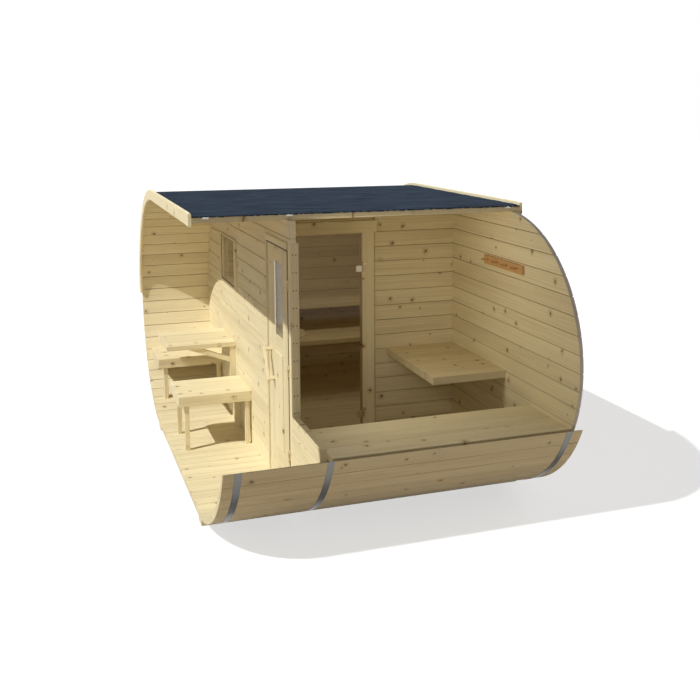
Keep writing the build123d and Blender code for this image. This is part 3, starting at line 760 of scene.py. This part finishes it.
# Partition and the frame of the glass door
PARTITION_GAPS = {"partition_front": (0, 0), "partition_rear": (0.009, 0), "partition_over_door": (0, 0.010)}
partition = Timber()
for name, (jamb_gap, head_gap) in PARTITION_GAPS.items():
    (start, near, low), (stop, far, high) = span(name)
    for bottom, top in wall_levels(low + head_gap, high):
        corners = (start + jamb_gap, near, bottom), (stop, far, top)
        beam(partition, *corners, 0, groove=GROOVE, end_cut=0, mark=PARTITION_MARK)
partition.finish("partition_boards", list(PARTITION_GAPS))

SAUNA_FRAME = {"sauna_front_jamb": 2, "sauna_rear_jamb": 2, "sauna_sill": 0}
beams("sauna_jambs", [(*span(name), axis) for name, axis in SAUNA_FRAME.items()], list(SAUNA_FRAME), tone=-0.3)
head_low, head_high = span("sauna_head")
part_low, part_high = span("partition_over_door")
head_pieces = [
    (head_low, (head_high[0], part_low[1], head_high[2]), 0),
    ((*part_low[:2], head_low[2]), (*part_high[:2], head_high[2]), 0),
    ((head_low[0], part_high[1], head_low[2]), head_high, 0),
]
# The head boards get a paler tone, painted light, so that they read brighter than the partition
beams("sauna_head_boards", head_pieces, ["sauna_head"], tone=-0.8)

# Round knobs on both faces of the glass door
glass_leaf_low, glass_leaf_high = span("sauna_door")
knob_low, knob_high = span("sauna_door_knobs")
KNOB_SHAPE = (
    (0.0, 0.014), (0.016, 0.013), (0.0162, 0.028), (0.018, 0.031), (0.022, 0.032),
    (0.030, 0.032), (0.036, 0.030), (0.040, 0.026), (0.042, 0.020),
)
knob_depth, knob_height = (knob_low[0] + knob_high[0]) / 2, (knob_low[2] + knob_high[2]) / 2
KNOB_STEPS = 24
knobs = Timber()
for reach, outward in ((glass_leaf_low[1], -1), (glass_leaf_high[1], 1)):
    rings = []
    for distance, radius in KNOB_SHAPE:
        centre = at(knob_depth, reach + outward * distance, knob_height)
        rings.append(circle(centre, X, Z, radius, KNOB_STEPS))
    knobs.loft(rings, Y, Z)
knobs.finish("sauna_door_knob_pair", ["sauna_door_knobs"], body="sauna_door")

# Benches and tables


def plank_top(timber, low, high, count, cut=EDGE, tone=None):
    """Table or seat top of lengthwise boards."""
    for near, far in strips(low[1], high[1], count):
        beam(timber, (low[0], near, low[2]), (high[0], far, high[2]), 0, cut=cut, bend=inside_oval, tone=tone)


def planked(name, count, cut=EDGE, tone=None):
    """Bench or table of lengthwise boards in place of its CAD node."""
    timber = Timber()
    plank_top(timber, *span(name), count, cut, tone)
    timber.finish(f"{name}_boards", [name])


BENCH_EDGE = 0.0025
for name, count in (("changing_bench", 3), ("lower_bench", 4), ("upper_bench", 5)):
    planked(name, count, BENCH_EDGE)

LEDGER_LENGTH, LEDGER_WIDTH, LEDGER_HEIGHT = 0.420, 0.045, 0.060
ledger_low, ledger_high = span("bench_ledgers")
BENCH_REACHES = ((-1.940, 0.540), (1.140, 0.540), (1.520, 0.820))
ledger_pieces = []
for reach, height in BENCH_REACHES:
    for depth in (ledger_low[0], ledger_high[0] - LEDGER_WIDTH):
        ledger_end = (depth + LEDGER_WIDTH, reach + LEDGER_LENGTH, height + LEDGER_HEIGHT)
        ledger_pieces.append(((depth, reach, height), ledger_end, 1))
beams("bench_ledger_timbers", ledger_pieces, ["bench_ledgers"])
# The corner table gets a deeper tone, painted shade for the dim corner it stands in
planked("corner_table", 5, tone=1.2)

SEAT, APRON, APRON_EDGE = 0.030, 0.018, 0.0015
for name, far_apron in (("porch_near_bench", True), ("porch_far_bench", False)):
    low, high = span(name)
    seat = Timber()
    under = high[2] - SEAT
    plank_top(seat, (low[0], low[1], under), high, 4)
    inner_far = high[1] - APRON if far_apron else high[1]
    aprons = [
        (low, (high[0], low[1] + APRON, under), 0),
        ((low[0], low[1] + APRON, low[2]), (low[0] + APRON, inner_far, under), 1),
        ((high[0] - APRON, low[1] + APRON, low[2]), (high[0], inner_far, under), 1),
    ]
    if far_apron:
        aprons.append(((low[0], high[1] - APRON, low[2]), (*high[:2], under), 0))
    for apron_low, apron_high, axis in aprons:
        beam(seat, apron_low, apron_high, axis, cut=APRON_EDGE, bend=inside_oval)
    seat.finish(f"{name}_boards", [name])

LEG = 0.036
legs_low, legs_high = span("porch_bench_legs")
near_low, near_high = span("porch_near_bench")
far_low = span("porch_far_bench")[0]
legs = Timber()
for depth in (legs_low[0], legs_high[0] - LEG):
    for reach in (near_low[1] + APRON, near_high[1] - APRON - LEG, far_low[1] + APRON):
        beam(legs, (depth, reach, STAVE), (depth + LEG, reach + LEG, legs_high[2]), 2, bend=above_floor)
legs.finish("porch_bench_leg_posts", ["porch_bench_legs"])

planked("porch_table", 4)

BRACKET_BOARD, BRACE_WIDTH, BRACE_TOP, BRACE_DROP, BRACE_FOOT = 0.050, 0.040, 0.114, 0.140, 0.042
(brace_end, brace_near, bracket_low), bracket_high = span("table_bracket")
brace_back, brace_top = bracket_high[0] - BRACKET_BOARD, bracket_high[2]
bracket = Timber()
beam(bracket, (brace_back, brace_near, bracket_low), bracket_high, 2)
brace_line = [
    (brace_end, brace_top),
    (brace_back, brace_top - BRACE_DROP),
    (brace_back, brace_top - BRACE_DROP + BRACE_FOOT),
    (brace_end + BRACE_TOP, brace_top),
]
brace_reaches = (brace_near, brace_near + BRACE_WIDTH)
brace_rings = [[at(depth, reach, height) for depth, height in brace_line] for reach in brace_reaches]
bracket.loft(brace_rings, X, Z)
bracket.finish("table_bracket_timbers", ["table_bracket"])

# Hook rail with leaning pegs
rail_low, rail_high = span("hook_rail")
RAIL_THICKNESS, RAIL_SIZE, RAIL_EDGE, PEG_COUNT, PEG_LEAN = 0.022, 0.070, 0.004, 4, math.radians(12.0)
rail = Timber()
rail_face = rail_high[0] - RAIL_THICKNESS
beam(rail, (rail_face, *rail_low[1:]), (*rail_high[:2], rail_low[2] + RAIL_SIZE), 1, cut=RAIL_EDGE)
PEG_STEPS = 14
PEG_SHAPE = ((-0.009, 0.009), (0.050, 0.0065), (0.053, 0.0085), (0.058, 0.0085), (0.062, 0.006))
peg_out = Vector((-math.cos(PEG_LEAN), 0, math.sin(PEG_LEAN)))
peg_up = Vector((math.sin(PEG_LEAN), 0, math.cos(PEG_LEAN)))
for low, high in strips(rail_low[1], rail_high[1], PEG_COUNT):
    start = at(rail_face, (low + high) / 2, rail_low[2] + RAIL_SIZE / 2)
    rings = [circle(start + peg_out * distance, Y, peg_up, radius, PEG_STEPS) for distance, radius in PEG_SHAPE]
    rail.loft(rings, peg_out, Y)
rail.finish("hook_rail_pegs", ["hook_rail"], material=alder)

# Roofing felt in lapped courses along the roof
FELT_THICKNESS, FELT_STEP, FELT_COURSE = 0.005, 0.0028, 0.30
FELT_SPACING, FELT_LIFT, FELT_MARGIN = 0.05, 0.0002, 0.0005
felt_path = [Vector(ring[0]) for ring in rim_stations([0.0])]
dense = []
for before, after in zip(felt_path, felt_path[1:]):
    pieces = max(1, round((after - before).length / FELT_SPACING))
    dense += [before.lerp(after, index / pieces) for index in range(pieces)]
dense.append(felt_path[-1])


def felt_offset(point, amount):
    """Point of the felt's path moved out from the shell."""
    reach, height = point
    side = 1 if reach > 0 else -1
    over = max(0.0, abs(reach) - FLAT_HALF)
    normal = Vector((side * over / SIDE_REACH**2, (height - HALF_HEIGHT) / HALF_HEIGHT**2)).normalized()
    return point + normal * amount


felt_points, felt_faces = [], []
course_count = round(len(dense) * FELT_SPACING / FELT_COURSE)
for course in range(course_count):
    first, last = (number * (len(dense) - 1) // course_count for number in (course, course + 1))
    path = dense[first:last + 1]
    size = len(path)
    slope = (FELT_THICKNESS - FELT_STEP) / (size - 1)
    outline = [felt_offset(point, FELT_STEP + slope * index) for index, point in enumerate(path)]
    outline += [felt_offset(point, FELT_LIFT) for point in reversed(path)]
    ring = len(outline)
    caps = [(index, index + 1, ring - 2 - index, ring - 1 - index) for index in range(size - 1)]
    felt_faces += loft_faces(len(felt_points), ring, 2, caps)
    for depth in (FELT_MARGIN, LENGTH - FELT_MARGIN):
        felt_points += [at(depth, spot.x, spot.y) for spot in outline]
solid("roof_felt_courses", felt_points, felt_faces, ["roof_felt"], felt, "building")

# Screw heads on the near post and at the ends of the end wall's boards
SCREW_RADIUS, SCREW_STEPS = 0.0045, 10
SCREW_SHAPE = ((-0.002, 1.0), (0.0006, 1.0), (0.0012, 0.7))


def screws(name, spots, axis):
    """Small flat heads standing just proud of a face that looks along minus the axis."""
    points, faces = [], []
    first, second = [AXES[index] for index in range(3) if index != axis]
    for spot in spots:
        faces += loft_faces(len(points), SCREW_STEPS, len(SCREW_SHAPE))
        for lift, share in SCREW_SHAPE:
            points += circle(at(*spot) - AXES[axis] * lift, first, second, SCREW_RADIUS * share, SCREW_STEPS)
    solid(name, points, faces, [], screw_metal, "building")


POST_SCREW_START, POST_SCREW_STOP, POST_SCREW_DEPTHS = 0.195, 0.03, (0.021, 0.044)
post_screws = []
screw_height = POST_SCREW_START
while screw_height < post_high[2] - POST_SCREW_STOP:
    post_screws += [(post_low[0] + depth, post_low[1], screw_height) for depth in POST_SCREW_DEPTHS]
    screw_height += STAVE_COVER
screws("post_screws", post_screws, 1)
WALL_SCREW_START, WALL_SCREW_SIDE, WALL_SCREW_RISE = 0.85, 0.022, 0.012
wall_screws = [
    (end_low[0], part_low[1] - WALL_SCREW_SIDE, level + WALL_SCREW_RISE)
    for level, top in wall_levels(WALL_SCREW_START, roof_top - STAVE)
]
screws("end_wall_screws", wall_screws, 0)

# Strap ends turned down over the roof's cut edge
STRAP_WIDTH, STRAP_DEPTHS = 0.044, (0.094, 0.675, 2.360)
TAB_THICKNESS, TAB_LOW, TAB_HIGH, FINE_EDGE = 0.002, 0.019, 0.004, 0.0006
tabs = Timber()
for depth in STRAP_DEPTHS:
    tab_low = (depth - STRAP_WIDTH / 2, -ROOF_CUT - TAB_THICKNESS, roof_top - TAB_LOW)
    tab_high = (depth + STRAP_WIDTH / 2, -ROOF_CUT, roof_top - TAB_HIGH)
    beam(tabs, tab_low, tab_high, 0, cut=FINE_EDGE, end_cut=FINE_EDGE)
tabs.finish("strap_ends", [], material=strap_end_metal)

# Ragged lower edge of the felt at the roof's near cut
RAG_LENGTHS, RAG_DROPS, RAG_GAPS = (0.010, 0.060), (0.0005, 0.0045), (-0.004, 0.018)
RAG_PROUD, RAG_BACK, RAG_RISE, RAG_STOP, RAG_LINE = 0.0025, 0.001, 0.006, 0.05, 0.0056
edge_height = roof_top - RAG_LINE
ragged = Timber()
run = 0.0
while run < LENGTH - RAG_STOP:
    length = rng.uniform(*RAG_LENGTHS)
    rag_low = (run, -ROOF_CUT - RAG_PROUD, edge_height - rng.uniform(*RAG_DROPS))
    rag_high = (run + length, -ROOF_CUT + RAG_BACK, edge_height + RAG_RISE)
    beam(ragged, rag_low, rag_high, 0, cut=FINE_EDGE, end_cut=FINE_EDGE)
    run += length + rng.uniform(*RAG_GAPS)
ragged.finish("felt_edge", [], material=felt)

# Materials of the CAD pieces that stay
for material, *names in (
    (steel, "straps"),
    (painted_metal, "entry_door_hinges", "entry_frame_hinges"),
    (hinge_metal, "sauna_door_hinges", "sauna_frame_hinges"),
    (clear_glass, "window_glass", "entry_door_glass"),
    (bronze_glass, "sauna_door"),
):
    for name in names:
        nodes[name].data.materials.clear()
        nodes[name].data.materials.append(material)

# Floor, light and camera


def plainly_seen(tree):
    """1 for what the camera sees, also in gloss and through glass, and 0 for what only lights the object."""
    path = add(tree, "LightPath").outputs
    direct = math_node(tree, "ADD", path["Is Camera Ray"], path["Is Glossy Ray"])
    return math_node(tree, "ADD", direct, path["Is Transmission Ray"], clamp=True)


FLOOR_SIZE, FLOOR_GLOW = 160, 0.62
bpy.ops.mesh.primitive_plane_add(size=FLOOR_SIZE, location=(0, 0, 0))
ground = bpy.context.object
ground.name = "studio_floor"
ground_material, ground_tree, ground_shader = new_material("studio_floor")
seen = plainly_seen(ground_tree)
ground_colour = mix_colour(ground_tree, seen, (0.39, 0.325, 0.26), (0.45, 0.45, 0.45))
glow = math_node(ground_tree, "MULTIPLY", seen, FLOOR_GLOW)
wire(ground_tree, ground_shader, [("Base Color", ground_colour), ("Roughness", 0.9), ("Specular IOR Level", 0.0)])
wire(ground_tree, ground_shader, [("Emission Color", (1.0, 1.0, 1.0, 1.0)), ("Emission Strength", glow)])
ground.data.materials.append(ground_material)

world = bpy.data.worlds.new("studio")
scene.world = world
world.use_nodes = True
sky = world.node_tree
sky_seen = plainly_seen(sky)
FILL = 0.165
sky_colour = mix_colour(sky, sky_seen, (0.97, 0.97, 1.0), (1.0, 1.0, 1.0))
sky_strength = math_node(sky, "MULTIPLY_ADD", sky_seen, 1.0 - FILL, FILL)
wire(sky, sky.nodes["Background"], [("Color", sky_colour), ("Strength", sky_strength)])


def lamp(name, kind, energy, colour, travel=None):
    """Lamp whose light travels one way, or straight down."""
    data = bpy.data.lights.new(name, kind)
    data.energy, data.color = energy, colour
    made = in_scene(name, data)
    if travel:
        made.rotation_euler = Vector(travel).to_track_quat("-Z", "Y").to_euler()
    return made


def sun_lamp(name, energy, colour, travel, angle):
    """Distant lamp with an angle in degrees."""
    made = lamp(name, "SUN", energy, colour, travel)
    made.data.angle = math.radians(angle)
    return made


def area_lamp(name, energy, colour, spot, size, travel=None):
    """Soft lamp of a size at a spot, which is not seen itself."""
    made = lamp(name, "AREA", energy, colour, travel)
    made.data.shape = "RECTANGLE"
    made.data.size, made.data.size_y = size
    made.location = spot
    made.visible_camera = made.visible_glossy = made.visible_transmission = False
    return made


SUN_TRAVEL = Vector((0.627, 0.212, -0.749))
sun_lamp("key_light", 3.25, (1.0, 1.0, 0.97), SUN_TRAVEL, 0.6)

# Flags that keep the key light off the opened side, as the full shell and wall would
FLAG_STEPS, FLAG_LAP, FLAG_PAST_END = 12, 0.06, 0.1
FLAG_RISE, FLAG_INSET, FLAG_FAR_REACH = 0.003, 0.002, -1.250
SHELL_FLAG_AWAY, WALL_FLAG_AWAY = 2.2, 0.6
flag_sweep = near_turn + FLAG_LAP - roof_turn
flag_line = [side_point(-1, roof_turn + flag_sweep * step / FLAG_STEPS, 0) for step in range(FLAG_STEPS + 1)]
flag_count = len(flag_line)
shell_points = [at(depth, *spot) for depth in (0.0, LENGTH + FLAG_PAST_END) for spot in flag_line]
shell_faces = [(index, index + 1, index + flag_count + 1, index + flag_count) for index in range(FLAG_STEPS)]
left_top = left_high[2] + FLAG_RISE
wall_line = flag_line + [(left_low[1], left_top), (FLAG_FAR_REACH, left_top), (FLAG_FAR_REACH, roof_top)]
wall_points = [at(wall_low[0] + FLAG_INSET, *spot) for spot in wall_line]


def light_flag(name, points, faces, away):
    """Sheet that shades what is down the key light from it and is not seen itself."""
    mesh = bpy.data.meshes.new(name)
    mesh.from_pydata([point - SUN_TRAVEL * away for point in points], [], faces)
    flag = in_scene(name, mesh)
    flag.visible_camera = flag.visible_diffuse = flag.visible_glossy = flag.visible_transmission = False
    return flag


key_flags = bpy.data.collections.new("key_flags")
key_flags.objects.link(light_flag("shell_flag", shell_points, shell_faces, SHELL_FLAG_AWAY))
key_flags.objects.link(light_flag("wall_flag", wall_points, [tuple(range(len(wall_points)))], WALL_FLAG_AWAY))
for linked in key_flags.collection_objects:
    linked.light_linking.link_state = "EXCLUDE"

# Soft lamps, which the flags do not shade
for soft in (
    sun_lamp("fill_light", 0.26, (1.0, 0.93, 0.86), (0.40, 0.88, -0.28), 40.0),
    sun_lamp("back_light", 0.6, (1.0, 0.96, 0.92), (-0.80, -0.42, -0.42), 40.0),
    area_lamp("room_light", 7.0, (1.0, 0.89, 0.72), at(1.55, 0.75, 2.02), (1.2, 0.8)),
    area_lamp(
        "changing_room_light", 8.4, (1.0, 0.92, 0.74), at(0.79, -1.15, 1.62), (0.5, 0.16), (1.00, -0.55, -0.04)
    ),
):
    soft.light_linking.blocker_collection = key_flags

camera_data = bpy.data.cameras.new("camera")
camera = in_scene("camera", camera_data)
scene.camera = camera
FOCAL_PIXELS, FRAME_PIXELS, SENSOR = 1000.0, 700.0, 36.0
camera_data.sensor_width = SENSOR
camera_data.lens = FOCAL_PIXELS / FRAME_PIXELS * SENSOR
camera_data.shift_x, camera_data.shift_y = -0.08, -0.16
camera_data.clip_end = 200.0
camera.location = at(-1.00, -7.92, 2.79)
CAMERA_DIP, CAMERA_TURN = 7.1, -20.6
camera.rotation_euler = (math.radians(90 - CAMERA_DIP), 0, math.radians(CAMERA_TURN))

scene.view_settings.view_transform = "Standard"

bpy.context.view_layer.update()
